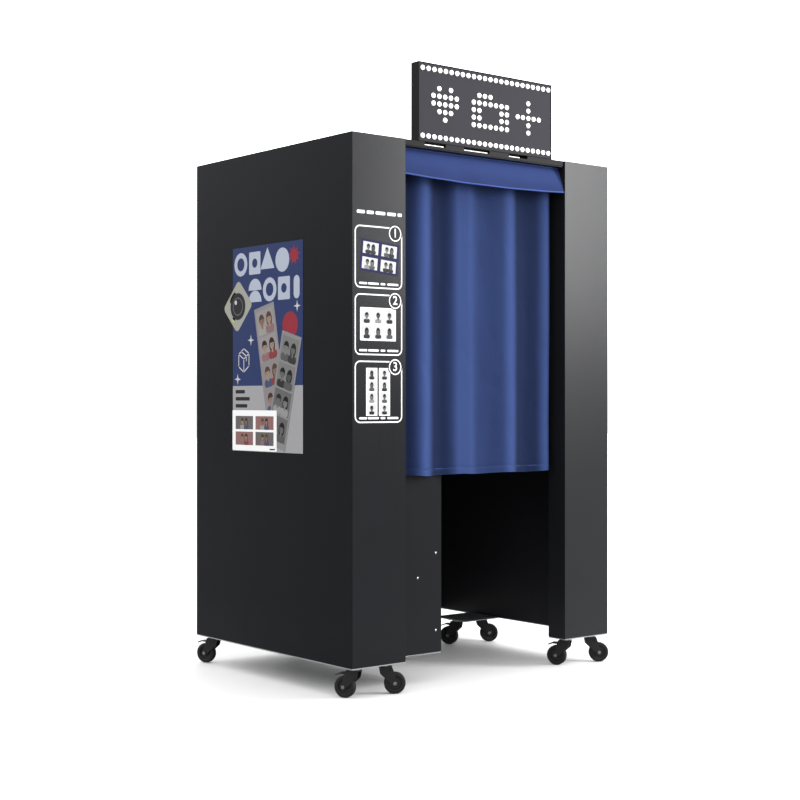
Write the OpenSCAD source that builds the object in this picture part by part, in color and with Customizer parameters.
// Curtained photo booth on casters.
// An equipment cabinet stands on the left, a thin wall with a front column on the right,
// and a bulb sign sits on the header between them.
// Z is up, the curtain faces -Y, and the origin is on the floor under the booth's middle.
// Most pieces are placed by slab(x, r, h): x from the booth's left side,
// r back from its front and h up from the bottom edge of its panels.

/* [Overall] */
// Width of the booth, from side to side
booth_w = 1240; // [1100:1:1600]
// Depth of the booth, from front to back
booth_d = 985; // [820:1:1300]
// Height of the side panels
body_h = 1800; // [1800:1:2200]
// Thickness of the sheet steel
sheet_t = 1.5; // [1:0.1:2]
// Gap between neighbouring panels
seam = 0.5; // [0.3:0.1:1]

/* [Cabinet and columns] */
// Width of the equipment cabinet on the left
cabinet_w = 470; // [390:1:570]
// Width of the two columns that stand proud at the front
column_w = 232; // [190:1:280]
// How far the doorway and the curtain's bay lie behind the front of the columns
recess_d = 88; // [84:1:110]
// Thickness of the right wall and of the rear wall
wall_t = 30; // [29:1:40]
// Width of the folded flanges of the panels
flange_w = 18; // [12:1:18]
// Side of the square frame tube
tube_w = 25; // [20:1:25]
// Wall of the frame tube
tube_t = 2; // [1.5:0.1:3]
// How far the roof lies below the top edges of the side panels
roof_drop = 10; // [6:1:14]
// Height of the shelf that carries the printer
printer_shelf_h = 640; // [600:1:660]
// Height of the shelf that carries the camera
camera_shelf_h = 1337; // [1330:1:1345]

/* [Header and sign] */
// Thickness of the plate over the doorway
header_t = 3; // [2:0.5:5]
// Height of the strip and blocks between the header and the sign
block_h = 20; // [12:1:30]
// Height of the unbroken strip under the blocks
plinth_h = 9; // [4:1:10]
// Distance of the blocks and the sign behind the front of the columns
sign_front = 6; // [2:1:20]
// Width of the sign
sign_w = 648; // [560:1:720]
// Height of the sign
sign_h = 278; // [240:1:330]
// Depth of the sign's case
sign_d = 42; // [30:1:55]
// Thickness of the case's sheet
sign_t = 3; // [2:0.5:4]
// Depth by which the face sits behind the rim of the case
face_inset = 2; // [1:0.5:4]
// Bulb diameter
bulb_d = 22; // [16:1:24]
// How far a bulb stands out from the face
bulb_out = 7; // [4:0.5:8]
// Bulbs in each border row
row_bulbs = 24; // [18:1:24]
// Distance of the border rows from the top and bottom of the sign
row_inset = 21; // [18:1:26]
// Spacing of the bulbs in the pictures
dot_pitch = 27; // [25:0.5:28]

/* [Curtain] */
// Height of the curtain's hem above the bottom edge of the panels
hem_h = 633; // [500:1:800]
// Depth of the curtain's folds
fold_d = 40; // [24:1:40]
// Thickness of the curtain cloth
cloth_t = 3; // [2:0.5:3]
// Height of the curtain's straight heading
heading_h = 30; // [20:1:50]
// Share of its width that the curtain keeps when it is drawn open
stack_share = 0.28; // [0.2:0.01:0.3]
// Drop of the valance in front of the rail
valance_h = 103; // [80:1:140]
// How far the valance's lower edge leans out
valance_lean = 33; // [10:1:33]
// Width of the curtain rail
rail_w = 24; // [20:1:30]
// Height of the curtain rail
rail_h = 20; // [16:1:26]
// Running gap of the gliders in the rail
glider_gap = 0.4; // [0.3:0.1:0.8]

/* [Equipment] */
// Width of the touchscreen
screen_w = 480; // [400:1:500]
// Height of the touchscreen
screen_h = 290; // [240:1:290]
// Height of the touchscreen's middle
screen_mid_h = 1080; // [1060:1:1090]
// Width of the camera window
window_w = 260; // [220:1:300]
// Height of the camera window
window_h = 200; // [160:1:220]
// Height of the camera's middle
camera_mid_h = 1390; // [1385:1:1395]
// Width of each light panel
light_w = 70; // [50:1:80]
// Height of each light panel
light_h = 400; // [300:1:440]
// Width of the photo outlet
outlet_w = 100; // [80:1:120]
// Height of the photo outlet
outlet_h = 85; // [60:1:90]
// Width of the payment unit
pay_w = 100; // [80:1:120]
// Height of the payment unit
pay_h = 160; // [120:1:180]
// Distance of the outlet and of the payment unit from the middle of the equipment wall
side_offset = 180; // [150:1:200]

/* [Poster] */
// Width of the poster on the left wall
poster_w = 448; // [300:1:500]
// Height of the poster
poster_h = 748; // [500:1:800]
// Distance of the poster from the front
poster_r = 280; // [200:1:300]
// Height of the poster's lower edge
poster_low_h = 713; // [600:1:900]

/* [Service door] */
// Radius of the hinge pins
hinge_pin_r = 4; // [3:0.5:5]
// Running clearance of every pin in its bore
pin_clear = 0.05; // [0.02:0.01:0.1]
// Depth of the door's folded edges
door_t = 15; // [10:1:18]
// Radius of the lock's barrel
lock_r = 9; // [7:0.5:11]
// Height of the lock
lock_h = 900; // [700:1:1100]

/* [Casters] */
// Wheel diameter
wheel_d = 75; // [62:1:90]
// Wheel width
wheel_w = 24; // [18:1:28]
// Distance of the wheel's axle from the swivel axis
trail = 35; // [28:1:40]
// Height from the top of the wheel to the base plate
caster_head_h = 31; // [31:1:40]
// Side of the square mounting plate
caster_plate_w = 60; // [54:1:70]
// Radius of the kingpin
kingpin_r = 5; // [4:0.5:6]
// Radius of the axle
axle_r = 4; // [3:0.5:5]
// Thickness of the fork's sheet
fork_t = 3; // [2:0.5:3]
// Thickness of the two base plates
base_t = 4; // [3:0.5:6]
// Distance of the outer casters from the sides and the front
caster_inset = 49; // [46:1:60]
// Spacing of the two casters under a column
caster_pitch = 130; // [110:1:135]
// Distance of the right wall's rear casters from the front
foot_r = 675; // [550:1:700]
// Depth of the foot that carries them
foot_d = 190; // [120:1:220]

/* [Hidden] */
$fn = 48;

ride_h = wheel_d + caster_head_h + base_t;

// Heights, all from the bottom edge of the panels
roof_h = body_h - roof_drop;
header_h = body_h - block_h;
rail_top_h = header_h - header_t;
frame_top_h = roof_h - 2 * sheet_t - seam;
eye_h = 8;
curtain_top_h = rail_top_h - rail_h - eye_h;

// Doorway and room
door_x = [column_w, booth_w - column_w];
room_x = [cabinet_w, booth_w - wall_t];
room_back = booth_d - wall_t;
face_mid = (recess_d + booth_d) / 2;
post_x = cabinet_w - 7 - tube_w;
post_r = [recess_d + 5, room_back - tube_w];
skin = 4;

// Curtain
rail_r = 62;
curtain_x = [column_w + 8, booth_w - column_w - 8];
curtain_w = curtain_x[1] - curtain_x[0];
// Crests and troughs: share of the width, and depth from the front (0) to the back (1)
FOLDS = [
    [0, 0.5], [0.06, 0.9], [0.155, 0.08], [0.264, 0.95], [0.358, 0.12], [0.421, 0.12],
    [0.526, 0.9], [0.687, 0], [0.814, 1], [0.953, 0.02], [1, 0.85]
];
FOLD_STEPS = 7;
GLIDERS = 3;
glider_w = 16;
lip_t = 2;
slot_w = 6;
head_h = 7;
lead_x = curtain_x[1] - glider_w;

// Sign
sign_x = (booth_w - sign_w) / 2;
sign_face_r = sign_front + face_inset + 3;
// See-through gaps between the blocks, measured from the sign's left end
BLOCK_GAPS = [[28, 124], [211, 333], [429, 522]];
block_d = 12;
// Dot pictures: a heart, a camera and a sparkle
DOTS = [
    ".#.#....###......#..",
    "#####..#######...#..",
    "#####..##...##.#####",
    ".###...##...##...#..",
    "..#....#######...#.."
];

// Casters: position, direction of the trail in degrees, and whether it has a brake
far_r = booth_d - caster_inset;
right_x = [booth_w - caster_inset - caster_pitch, booth_w - caster_inset];
BRAKED = 117;
PLAIN = -37;
CASTERS = [
    [caster_inset, caster_inset, BRAKED],
    [caster_inset + caster_pitch, caster_inset, PLAIN],
    [caster_inset, far_r, BRAKED],
    [cabinet_w - caster_inset, far_r, PLAIN],
    [right_x[0], caster_inset, BRAKED],
    [right_x[1], caster_inset, PLAIN],
    [right_x[0], foot_r, BRAKED],
    [right_x[1], foot_r, PLAIN]
];
WITH_BRAKE = [1, 3, 5, 7];
caster_h = wheel_d + caster_head_h;
crown_top = -9.5;
crown_t = 4;
leg_y = wheel_w / 2 + 1.5;
axle_z = wheel_d / 2 - caster_h;
pedal_z = axle_z + wheel_d / 2 + 8.5;
pedal_x = 18;
pedal_pin_r = 2.5;

// Door
pivot_x = 22;
pivot_r = booth_d - door_t / 2;
leaf_x = [14, cabinet_w - 14];
leaf_h = [16, roof_h - 14];
lug_t = 4;
lock_x = leaf_x[1] - 26;
cam_r = booth_d - 26;

// Equipment, on and behind the equipment wall
screen_r = face_mid;
light_offset = 235;
light_mid_h = screen_mid_h + screen_h / 2 + 15 + light_h / 2;
outlet_r = face_mid - side_offset;
outlet_mid_h = 757;
outlet_deep = 70;
pay_r = face_mid + side_offset;
pay_mid_h = 780;
flap_axis_x = cabinet_w + 8;
flap_axis_h = outlet_mid_h + outlet_h / 2 + 4;
flap_pin_r = 2;
inlet_x = cabinet_w + 60;
inlet_mid_h = 70;
INLET = [48, 22, 30];
screw_r = 4;

// Colours
CHARCOAL = [0.09, 0.09, 0.1];
FRAME_GREY = [0.3, 0.31, 0.33];
ZINC = [0.75, 0.76, 0.78];
BLUE = [0.12, 0.18, 0.42];
BLACK = [0.03, 0.03, 0.03];
WHITE = [0.95, 0.95, 0.93];
GLASS = [0.12, 0.14, 0.16];

function caster_names(part, numbers) = [for (i = numbers) str(part, "_", i)];

// Placement

module at(x, r, h)
    translate([x - booth_w / 2, r - booth_d / 2, ride_h + h]) children();

module slab(x, r, h)
    at(x[0], r[0], h[0]) cube([x[1] - x[0], r[1] - r[0], h[1] - h[0]]);

// Cylinders along the three axes, starting at the given point
module rod_z(x, r, h, radius, length)
    at(x, r, h) cylinder(r = radius, h = length);

module rod_r(x, r, h, radius, length)
    at(x, r, h) rotate([-90, 0, 0]) cylinder(r = radius, h = length);

module rod_x(x, r, h, radius, length)
    at(x, r, h) rotate([0, 90, 0]) cylinder(r = radius, h = length);

// Square tube; the inner hollow runs along the given direction
module tube(x, r, h, along) {
    w = tube_t;
    e = 1;
    difference() {
        slab(x, r, h);
        if (along == "x")
            slab([x[0] - e, x[1] + e], [r[0] + w, r[1] - w], [h[0] + w, h[1] - w]);
        if (along == "r")
            slab([x[0] + w, x[1] - w], [r[0] - e, r[1] + e], [h[0] + w, h[1] - w]);
        if (along == "h")
            slab([x[0] + w, x[1] - w], [r[0] + w, r[1] - w], [h[0] - e, h[1] + e]);
    }
}

module post(x, r) tube([x, x + tube_w], [r, r + tube_w], [0, frame_top_h], "h");

module rail_along_r(x, r, h) tube([x, x + tube_w], r, [h, h + tube_w], "r");

module rail_along_x(x, r, h) tube(x, [r, r + tube_w], [h, h + tube_w], "x");

// Frames

module left_frame() color(FRAME_GREY) {
    inner_x = [skin + tube_w, post_x];
    inner_r = [skin + tube_w, post_r[1]];
    top = frame_top_h - tube_w;
    post(skin, skin);
    post(column_w - skin - tube_w, skin);
    post(post_x, post_r[0]);
    post(skin, post_r[1]);
    post(post_x, post_r[1]);
    for (h = [0, top]) {
        rail_along_r(skin, inner_r, h);
        rail_along_r(post_x, [post_r[0] + tube_w, post_r[1]], h);
        rail_along_x([skin + tube_w, column_w - skin - tube_w], skin, h);
        rail_along_x(inner_x, post_r[0], h);
        rail_along_x(inner_x, post_r[1], h);
    }
    for (shelf = [printer_shelf_h, camera_shelf_h]) {
        rail_along_r(skin, inner_r, shelf - tube_w);
        rail_along_x(inner_x, post_r[0], shelf - tube_w);
        rail_along_x(inner_x, post_r[1], shelf - tube_w);
        slab([skin, post_x], [post_r[0], post_r[1] + tube_w], [shelf, shelf + 3]);
    }
    hinge_lug(leaf_h[0] - 2 - lug_t);
    hinge_lug(leaf_h[1] + 2);
    keeper();
}

module hinge_lug(h) difference() {
    slab([8, 2 * pivot_x - 10], [post_r[1] + tube_w - 1, booth_d - 2], [h, h + lug_t]);
    rod_z(pivot_x, pivot_r, h - 1, hinge_pin_r + pin_clear, lug_t + 2);
}

// Hook on the rear post; the lock's cam turns in behind its lip
module keeper() {
    x = cabinet_w - 7;
    lip_r = [cam_r + 2, cam_r + 5];
    h = [lock_h - 20, lock_h + 20];
    slab([x - 3, x], [post_r[1] + tube_w - 1, lip_r[1]], h);
    slab([x - 11, x], lip_r, h);
}

module right_frame() color(FRAME_GREY) {
    wall_x = booth_w - sheet_t - 1 - tube_w;
    column_x = door_x[1] + skin;
    for (r = [skin, face_mid, booth_d - skin - tube_w]) post(wall_x, r);
    for (r = [skin, recess_d - skin - tube_w]) post(column_x, r);
    for (h = [0, frame_top_h - tube_w]) {
        rail_along_r(wall_x, [skin + tube_w, booth_d - skin - tube_w], h);
        rail_along_r(column_x, [skin + tube_w, recess_d - skin - tube_w], h);
        rail_along_x([column_x + tube_w, wall_x], skin, h);
        rail_along_x([column_x + tube_w, wall_x], recess_d - skin - tube_w, h);
    }
}

// Base plates

module left_base_plate() color(ZINC) {
    slab([1, column_w - 1], [1, recess_d + 10], [-base_t, 0]);
    slab([1, cabinet_w - 1], [recess_d + 1, booth_d - 1], [-base_t, 0]);
}

module right_base_plate() color(ZINC) {
    edge = booth_w - 1;
    slab([door_x[1] + 1, edge], [1, recess_d - 1], [-base_t, 0]);
    slab([room_x[1] + 1, edge], [1, booth_d - 1], [-base_t, 0]);
    slab([door_x[1] + 12, edge], [foot_r - foot_d / 2, foot_r + foot_d / 2], [-base_t, 0]);
}

// Cabinet panels

module left_side_panel() color(CHARCOAL) {
    top = roof_h - sheet_t;
    slab([0, sheet_t], [0, booth_d], [0, body_h]);
    slab([0, flange_w], [sheet_t + seam, 2 * sheet_t + seam], [0, frame_top_h - 2]);
    slab([0, flange_w], [4, booth_d - 2], [top - sheet_t - seam, top - seam]);
    slab([0, 9], [booth_d - sheet_t, booth_d], [0, body_h]);
}

module left_front_panel() color(CHARCOAL) {
    slab([sheet_t + seam, column_w], [0, sheet_t], [0, body_h]);
    slab([column_w - sheet_t, column_w], [0, recess_d - seam], [0, body_h]);
}

module left_recess_panel() color(CHARCOAL) {
    slab([column_w - flange_w, cabinet_w], [recess_d, recess_d + sheet_t], [0, roof_h - sheet_t - seam]);
}

module face_hole(r, w, h, tall)
    slab([cabinet_w - 5, cabinet_w + 5], [r - w / 2, r + w / 2], [h - tall / 2, h + tall / 2]);

module cabinet_face_panel() color(CHARCOAL) {
    front = recess_d + sheet_t + seam;
    difference() {
        slab([cabinet_w - sheet_t, cabinet_w], [front, booth_d], [0, roof_h - sheet_t - seam]);
        face_hole(screen_r, screen_w - 20, screen_mid_h, screen_h - 20);
        face_hole(face_mid, window_w - 20, camera_mid_h, window_h - 20);
        for (side = [-1, 1])
            face_hole(face_mid + side * light_offset, light_w - 10, light_mid_h, light_h - 10);
        face_hole(outlet_r, outlet_w + 6, outlet_mid_h, outlet_h + 6);
        face_hole(pay_r, pay_w - 16, pay_mid_h, pay_h - 16);
    }
    slab([cabinet_w - flange_w, cabinet_w], [front, front + sheet_t], [0, frame_top_h - 2]);
    slab([cabinet_w - 10, cabinet_w], [booth_d - sheet_t, booth_d], [0, roof_h - sheet_t - seam]);
}

// Right and rear panels

module right_side_panel() color(CHARCOAL) {
    top = roof_h - sheet_t;
    slab([booth_w - sheet_t, booth_w], [0, booth_d], [0, body_h]);
    slab([booth_w - flange_w, booth_w], [4, booth_d - 4], [top - sheet_t - seam, top - seam]);
}

module right_front_panel() color(CHARCOAL) {
    slab([door_x[1], booth_w - sheet_t - seam], [0, sheet_t], [0, body_h]);
    slab([door_x[1], door_x[1] + sheet_t], [0, recess_d], [0, body_h]);
    slab([door_x[1], room_x[1]], [recess_d - sheet_t, recess_d], [0, roof_h - sheet_t - seam]);
}

module right_inner_panel() color(CHARCOAL)
    slab([room_x[1], room_x[1] + sheet_t], [recess_d, room_back], [0, roof_h - sheet_t - seam]);

module back_panel() color(CHARCOAL) {
    x = [cabinet_w, booth_w - sheet_t - seam];
    top = roof_h - sheet_t - seam;
    difference() {
        union() {
            slab(x, [booth_d - sheet_t, booth_d], [0, body_h]);
            slab([x[0], room_x[1]], [room_back + 1, booth_d], [0, sheet_t]);
            slab([x[0], room_x[1]], [room_back + 1, booth_d], [top - sheet_t, top]);
        }
        inlet_block(0.5);
    }
    slab([x[0], x[0] + sheet_t], [room_back + 1, booth_d], [0, top]);
}

module backdrop_panel() color([0.13, 0.13, 0.14])
    slab([cabinet_w, room_x[1]], [room_back - sheet_t, room_back], [0, roof_h - sheet_t - seam]);

module roof_panel() color(CHARCOAL) {
    h = [roof_h - sheet_t, roof_h];
    difference() {
        slab([sheet_t + seam, booth_w - sheet_t - seam], [sheet_t + seam, booth_d - 2], h);
        slab([door_x[0] - sheet_t - seam, door_x[1] + sheet_t + seam], [0, recess_d + seam],
            [h[0] - 1, h[1] + 1]);
    }
    slab([cabinet_w + seam, door_x[1]], [recess_d + seam, recess_d + seam + sheet_t], [rail_top_h, roof_h]);
}

// Header, sign and poster

module header_beam() color(CHARCOAL) {
    slab(door_x, [sign_front + 2, recess_d], [rail_top_h, header_h]);
    slab(door_x, [recess_d - header_t, recess_d], [rail_top_h, header_h + 6]);
}

module sign_base() color(BLACK) difference() {
    low = header_h + plinth_h;
    slab(door_x, [sign_front, sign_front + sign_d], [header_h, body_h]);
    slab([sign_x + BLOCK_GAPS[0][0], sign_x + BLOCK_GAPS[2][1]],
        [sign_front + block_d, recess_d], [low, body_h + 1]);
    for (gap = BLOCK_GAPS)
        slab([sign_x + gap[0], sign_x + gap[1]], [0, recess_d], [low, body_h + 1]);
}

module sign_case() color(BLACK) difference() {
    slab([sign_x, sign_x + sign_w], [sign_front, sign_front + sign_d], [body_h, body_h + sign_h]);
    slab([sign_x + sign_t, sign_x + sign_w - sign_t], [sign_front - 1, sign_front + sign_d - sign_t],
        [body_h + sign_t, body_h + sign_h - sign_t]);
}

module sign_face() color([0.28, 0.28, 0.3])
    slab([sign_x + sign_t, sign_x + sign_w - sign_t], [sign_face_r - 3, sign_face_r],
        [body_h + sign_t, body_h + sign_h - sign_t]);

// Disc whose top, above y = 0, is the outline of a dome of that radius and height
module dome_outline(radius, height) {
    ball = (radius * radius + height * height) / (2 * height);
    translate([0, height - ball]) circle(r = ball, $fn = 64);
}

module bulb(x, h) at(x, sign_face_r - 3, h) rotate([90, 0, 0]) {
    cylinder(d = bulb_d, h = 1.5);
    translate([0, 0, 1.5]) rotate_extrude() intersection() {
        dome_outline(bulb_d / 2, bulb_out - 1.5);
        square([bulb_d, bulb_d]);
    }
}

module sign_bulbs() color(WHITE) {
    pitch = (sign_w - 2 * row_inset + 5) / (row_bulbs - 1);
    for (i = [0:row_bulbs - 1]) {
        x = sign_x + row_inset - 2.5 + i * pitch;
        bulb(x, body_h + row_inset);
        bulb(x, body_h + sign_h - row_inset);
    }
    columns = len(DOTS[0]);
    for (row = [0:len(DOTS) - 1])
        for (i = [0:columns - 1])
            if (DOTS[row][i] == "#")
                bulb(booth_w / 2 + (i - (columns - 1) / 2) * dot_pitch,
                    body_h + sign_h / 2 + (2 - row) * dot_pitch);
}

module poster() color([0.2, 0.3, 0.7])
    slab([-1, 0], [poster_r, poster_r + poster_w], [poster_low_h, poster_low_h + poster_h]);

module panel_screws() color(ZINC) {
    for (p = [[26, 354], [26, 78], [110, 270]])
        rod_r(cabinet_w - p[0], recess_d - 1.5, p[1], screw_r, 1.5);
    for (x = [cabinet_w + 15, (cabinet_w + booth_w) / 2, booth_w - 15])
        for (h = [15, body_h / 3, body_h * 2 / 3, roof_h - 15])
            rod_r(x, booth_d, h, screw_r, 1.5);
    for (r = [foot_r - 70, foot_r + 70]) rod_z(door_x[1] + 24, r, 0, screw_r, 2);
}

// Curtain, valance and rail

function ease(t) = (1 - cos(180 * t)) / 2;

// Depth of the fold line at each of its steps, as [x, r] from the front
function fold_line(side) = [
    for (i = [0:len(FOLDS) - 2])
        for (s = [0:FOLD_STEPS - 1])
            let (a = FOLDS[i], b = FOLDS[i + 1], t = s / FOLD_STEPS)
                [curtain_x[0] + curtain_w * (a[0] + (b[0] - a[0]) * t),
                 rail_r + fold_d * (a[1] + (b[1] - a[1]) * ease(t) - 0.5) + side * cloth_t / 2]
];

function backwards(points) = [for (i = [len(points) - 1:-1:0]) points[i]];

module curtain() color(BLUE) {
    heading_low = curtain_top_h - heading_h;
    at(0, 0, hem_h) linear_extrude(heading_low - hem_h)
        polygon(concat(fold_line(-1), backwards(fold_line(1))));
    slab([curtain_x[0], curtain_x[1]], [rail_r - cloth_t / 2, rail_r + cloth_t / 2],
        [heading_low, curtain_top_h]);
}

module valance() color(BLUE) {
    x = [door_x[0] + 2, door_x[1] - 2];
    top_r = 3 + valance_lean;
    at(x[0], 0, rail_top_h) rotate([90, 0, 90]) linear_extrude(x[1] - x[0])
        polygon([[3, -valance_h], [3 + cloth_t, -valance_h], [top_r + cloth_t, 0], [top_r, 0]]);
}

module curtain_rail() color(ZINC) {
    h = [rail_top_h - rail_h, rail_top_h];
    x = [curtain_x[0] - 4, curtain_x[1] + 4];
    difference() {
        slab(x, [rail_r - rail_w / 2, rail_r + rail_w / 2], h);
        slab([x[0] + 3, x[1] - 3], [rail_r - rail_w / 2 + lip_t, rail_r + rail_w / 2 - lip_t],
            [h[0] + lip_t, h[1] - lip_t]);
        slab([x[0] + 3, x[1] - 3], [rail_r - slot_w / 2, rail_r + slot_w / 2], [h[0] - 1, h[0] + lip_t + 1]);
    }
    slab([x[0], x[0] + 8], [rail_r - 1, rail_r + 1], [curtain_top_h + 0.3, h[0]]);
}

function glider_x(i) = curtain_x[0] + (lead_x - curtain_x[0]) * (GLIDERS + 1 - i) / GLIDERS;

module curtain_glider(i) color(WHITE) {
    x = [glider_x(i) - glider_w / 2, glider_x(i) + glider_w / 2];
    low = rail_top_h - rail_h;
    head_w = rail_w / 2 - lip_t - glider_gap;
    neck_w = slot_w / 2 - glider_gap;
    slab(x, [rail_r - head_w, rail_r + head_w], [low + lip_t + glider_gap, low + lip_t + head_h]);
    slab([x[0] + 3, x[1] - 3], [rail_r - neck_w, rail_r + neck_w], [curtain_top_h + 0.3, low + lip_t + 1]);
}

// Equipment

module touchscreen() color(GLASS) {
    w = screen_w / 2;
    t = screen_h / 2;
    slab([cabinet_w, cabinet_w + 7], [screen_r - w, screen_r + w], [screen_mid_h - t, screen_mid_h + t]);
    slab([cabinet_w - 32, cabinet_w], [screen_r - w + 11, screen_r + w - 11],
        [screen_mid_h - t + 11, screen_mid_h + t - 11]);
}

module camera_window() color(GLASS)
    slab([cabinet_w - sheet_t - 3, cabinet_w - sheet_t], [face_mid - window_w / 2, face_mid + window_w / 2],
        [camera_mid_h - window_h / 2, camera_mid_h + window_h / 2]);

module camera_body() color(BLACK) {
    back = cabinet_w - 165;
    lens_r = 38;
    low = camera_shelf_h + 3;
    slab([back, back + 75], [face_mid - 70, face_mid + 70], [low, camera_mid_h + 45]);
    slab([back + 10, back + 60], [face_mid - 25, face_mid + 25], [camera_mid_h + 45, camera_mid_h + 65]);
    rod_x(back + 75, face_mid, camera_mid_h, lens_r, 62);
    difference() {
        rod_x(back + 137, face_mid, camera_mid_h, lens_r + 3, 12);
        rod_x(back + 141, face_mid, camera_mid_h, lens_r - 5, 12);
    }
}

module light_panels() color(WHITE) for (side = [-1, 1]) {
    r = face_mid + side * light_offset;
    slab([cabinet_w - sheet_t - 3, cabinet_w - sheet_t], [r - light_w / 2, r + light_w / 2],
        [light_mid_h - light_h / 2, light_mid_h + light_h / 2]);
    slab([cabinet_w - 22, cabinet_w - sheet_t - 3], [r - light_w / 2 + 5, r + light_w / 2 - 5],
        [light_mid_h - light_h / 2 + 5, light_mid_h + light_h / 2 - 5]);
}

module outlet_surround() color(BLACK) {
    w = outlet_w / 2;
    t = outlet_h / 2;
    lip = cabinet_w + 4;
    difference() {
        union() {
            slab([cabinet_w, lip], [outlet_r - w - 18, outlet_r + w + 18],
                [outlet_mid_h - t - 16, outlet_mid_h + t + 16]);
            slab([cabinet_w - outlet_deep, cabinet_w], [outlet_r - w - 2, outlet_r + w + 2],
                [outlet_mid_h - t - 2, outlet_mid_h + t + 2]);
        }
        slab([cabinet_w - outlet_deep + 2, lip + 1], [outlet_r - w, outlet_r + w],
            [outlet_mid_h - t, outlet_mid_h + t]);
        slab([cabinet_w - outlet_deep - 1, cabinet_w - outlet_deep + 3], [outlet_r - w + 8, outlet_r + w - 8],
            [outlet_mid_h + t - 30, outlet_mid_h + t - 18]);
    }
    for (side = [-1, 1]) difference() {
        r = outlet_r + side * (w + 3);
        slab([cabinet_w + 3, flap_axis_x + 4.5], [r - 2, r + 2], [flap_axis_h - 5, flap_axis_h + 5]);
        rod_r(flap_axis_x, r - 3, flap_axis_h, flap_pin_r + pin_clear, 6);
    }
}

module outlet_flap() color([0.35, 0.37, 0.4]) {
    w = outlet_w / 2 + 0.4;
    slab([cabinet_w + 4.5, cabinet_w + 7], [outlet_r - w, outlet_r + w],
        [outlet_mid_h - outlet_h / 2 - 4, flap_axis_h]);
    rod_r(flap_axis_x, outlet_r - w, flap_axis_h, 3.5, 2 * w);
    rod_r(flap_axis_x, outlet_r - w - 5, flap_axis_h, flap_pin_r, 2 * w + 10);
}

module photo_printer() color([0.2, 0.2, 0.21]) {
    low = printer_shelf_h + 3;
    x = cabinet_w - outlet_deep - 4;
    difference() {
        slab([post_r[0] - 40, x], [outlet_r - 130, outlet_r + 130], [low, low + 170]);
        slab([x - 12, x + 1], [outlet_r - 45, outlet_r + 45], [outlet_mid_h + outlet_h / 2 - 32,
            outlet_mid_h + outlet_h / 2 - 16]);
    }
}

module computer() color([0.15, 0.15, 0.16])
    slab([90, 290], [face_mid - 200, face_mid + 200], [0, 380]);

module payment_unit() color(BLACK) {
    w = pay_w / 2;
    t = pay_h / 2;
    difference() {
        slab([cabinet_w, cabinet_w + 14], [pay_r - w, pay_r + w], [pay_mid_h - t, pay_mid_h + t]);
        slab([cabinet_w + 10, cabinet_w + 15], [pay_r - w + 12, pay_r + w - 12],
            [pay_mid_h + 14, pay_mid_h + t - 12]);
        slab([cabinet_w + 2, cabinet_w + 15], [pay_r - 30, pay_r + 30], [pay_mid_h - 40, pay_mid_h - 36]);
        slab([cabinet_w + 2, cabinet_w + 15], [pay_r + 24, pay_r + 27], [pay_mid_h - 24, pay_mid_h + 4]);
    }
    slab([cabinet_w - 60, cabinet_w], [pay_r - w + 9, pay_r + w - 9], [pay_mid_h - t + 9, pay_mid_h + t - 9]);
}

module inlet_block(gap)
    slab([inlet_x - INLET[0] / 2 - gap, inlet_x + INLET[0] / 2 + gap], [booth_d - INLET[1], booth_d + 2],
        [inlet_mid_h - INLET[2] / 2 - gap, inlet_mid_h + INLET[2] / 2 + gap]);

module power_inlet() color(BLACK) {
    difference() {
        union() {
            inlet_block(0);
            slab([inlet_x - 30, inlet_x + 30], [booth_d, booth_d + 2], [inlet_mid_h - 18, inlet_mid_h + 18]);
        }
        slab([inlet_x - 13, inlet_x + 13], [booth_d - 18, booth_d + 3], [inlet_mid_h - 9, inlet_mid_h + 9]);
    }
    for (p = [[-8, -3], [0, 3], [8, -3]])
        slab([inlet_x + p[0] - 1, inlet_x + p[0] + 1], [booth_d - 19, booth_d - 8],
            [inlet_mid_h + p[1] - 2.5, inlet_mid_h + p[1] + 2.5]);
}

// Service door and its lock

module service_door() color(CHARCOAL) {
    r = [booth_d - door_t, booth_d];
    difference() {
        slab(leaf_x, r, leaf_h);
        slab([leaf_x[0] + sheet_t, leaf_x[1] - sheet_t], [r[0] - 1, r[1] - sheet_t],
            [leaf_h[0] + sheet_t, leaf_h[1] - sheet_t]);
        rod_r(lock_x, booth_d - 5, lock_h, lock_r + pin_clear, 10);
    }
    for (h = [leaf_h[0] - 6, leaf_h[1] - 14])
        rod_z(pivot_x, pivot_r, h, hinge_pin_r, 20);
}

module door_lock() color(ZINC) {
    x = lock_x;
    rod_r(x, cam_r, lock_h, lock_r, booth_d - cam_r + 1);
    difference() {
        rod_r(x, booth_d + 0.3, lock_h, lock_r + 3, 3);
        slab([x - 1, x + 1], [booth_d + 2, booth_d + 5], [lock_h - 5, lock_h + 5]);
    }
    slab([x - 8, x + 8], [cam_r - 3, cam_r], [lock_h - 8, lock_h + 27]);
}

// Casters, in a frame of their own: the swivel axis is Z, the top is z = 0, and the trail is +X

module at_caster(i)
    at(CASTERS[i - 1][0], CASTERS[i - 1][1], -base_t) rotate([0, 0, CASTERS[i - 1][2]]) children();

module caster_plate() {
    w = caster_plate_w;
    translate([-w / 2, -w / 2, -3]) cube([w, w, 3]);
    translate([0, 0, crown_top + 0.3]) cylinder(r = 20, h = -3.3 - crown_top);
    translate([0, 0, crown_top - crown_t - 5]) cylinder(r = kingpin_r, h = crown_t + 6);
    translate([0, 0, crown_top - crown_t - 5.3]) cylinder(r = kingpin_r + 3, h = 5);
    for (x = [-1, 1]) for (y = [-1, 1])
        translate([x * (w / 2 - 8), y * (w / 2 - 8), -5]) cylinder(r = 4.5, h = 3, $fn = 6);
}

module caster_plates() color(ZINC)
    for (i = [1:len(CASTERS)]) at(CASTERS[i - 1][0], CASTERS[i - 1][1], -base_t) caster_plate();

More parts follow.
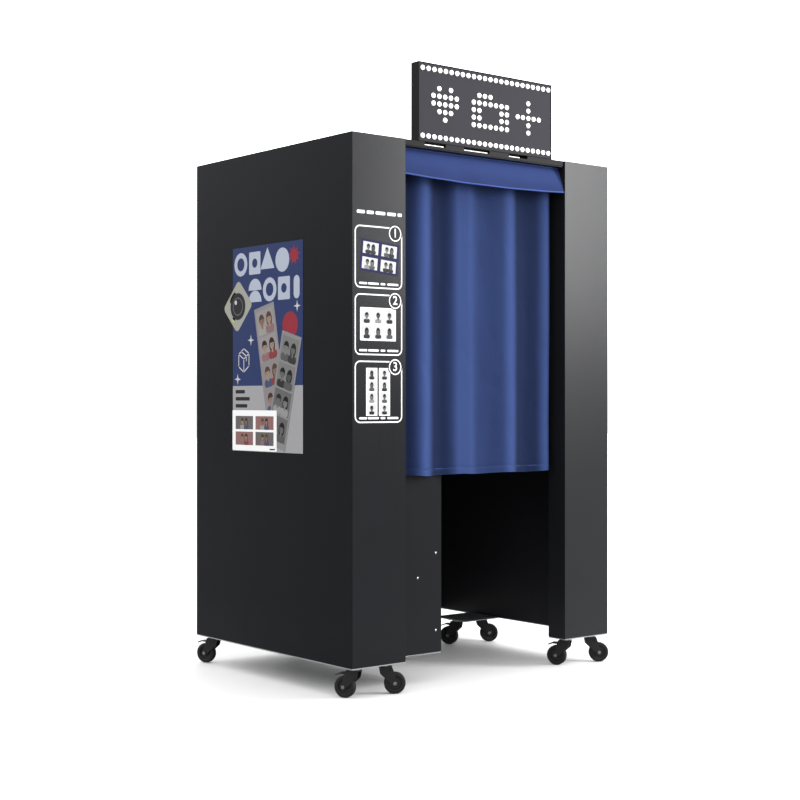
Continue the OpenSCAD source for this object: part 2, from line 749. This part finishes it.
module leg_outline() hull() {
    translate([-20, crown_top - crown_t]) square([44, crown_t]);
    translate([trail, axle_z]) circle(r = axle_r + 6, $fn = 32);
    translate([-12, crown_top - 24]) circle(r = 4, $fn = 32);
    translate([pedal_x, pedal_z]) circle(r = pedal_pin_r + 3.5, $fn = 32);
}

module caster_fork(i) color(BLACK) at_caster(i) {
    low = crown_top - crown_t;
    difference() {
        union() {
            translate([0, 0, low]) cylinder(r = 21, h = crown_t);
            translate([-20, -leg_y - fork_t, low]) cube([44, 2 * (leg_y + fork_t), crown_t]);
        }
        translate([0, 0, low - 1]) cylinder(r = kingpin_r + pin_clear, h = crown_t + 2);
    }
    for (side = [-1, 1]) difference() {
        translate([0, side * (leg_y + fork_t / 2) + fork_t / 2, 0])
            rotate([90, 0, 0]) linear_extrude(fork_t) leg_outline();
        translate([pedal_x, side * leg_y - 20, pedal_z]) rotate([-90, 0, 0])
            cylinder(r = pedal_pin_r + pin_clear, h = 40);
    }
    translate([trail, -leg_y - fork_t - 3, axle_z]) rotate([-90, 0, 0])
        cylinder(r = axle_r, h = 2 * (leg_y + fork_t + 3));
}

module caster_wheel(i) color([0.12, 0.12, 0.12]) at_caster(i)
    translate([trail, 0, axle_z]) rotate([90, 0, 0]) rotate_extrude($fn = 64) {
        bore = axle_r + pin_clear;
        radius = wheel_d / 2;
        round_r = 5;
        translate([bore, -wheel_w / 2 - 1.1]) square([7, wheel_w + 2.2]);
        translate([bore, -wheel_w / 2 + 4]) square([radius - 8 - bore, wheel_w - 8]);
        translate([radius - 12, -wheel_w / 2]) square([12 - round_r, wheel_w]);
        translate([radius - 12, -wheel_w / 2 + round_r]) square([12, wheel_w - 2 * round_r]);
        for (y = [-1, 1])
            translate([radius - round_r, y * (wheel_w / 2 - round_r)]) circle(r = round_r);
    }

module brake_pedal(i) color(BLACK) at_caster(i) {
    w = leg_y - 0.5;
    translate([pedal_x, -leg_y - fork_t, pedal_z]) rotate([-90, 0, 0])
        cylinder(r = pedal_pin_r, h = 2 * (leg_y + fork_t));
    translate([pedal_x, 0, pedal_z]) rotate([90, 0, 0]) translate([0, 0, -w])
        linear_extrude(2 * w)
            polygon([[-4, -2.6], [0, -4], [30, -2], [48, -8], [50, -5], [32, 2.5], [0, 4], [-4, 2.6]]);
}

// The nodes

left_frame();
right_frame();
left_base_plate();
right_base_plate();
left_side_panel();
left_front_panel();
left_recess_panel();
cabinet_face_panel();
right_side_panel();
right_inner_panel();
right_front_panel();
back_panel();
backdrop_panel();
roof_panel();
header_beam();
panel_screws();
poster();
sign_base();
sign_case();
sign_face();
sign_bulbs();
curtain_rail();
curtain();
valance();
touchscreen();
camera_body();
camera_window();
light_panels();
photo_printer();
computer();
outlet_surround();
outlet_flap();
payment_unit();
power_inlet();
service_door();
door_lock();
caster_plates();
for (i = [1:GLIDERS]) curtain_glider(i);
for (i = [1:len(CASTERS)]) caster_fork(i);
for (i = [1:len(CASTERS)]) caster_wheel(i);
for (i = WITH_BRAKE) brake_pedal(i);
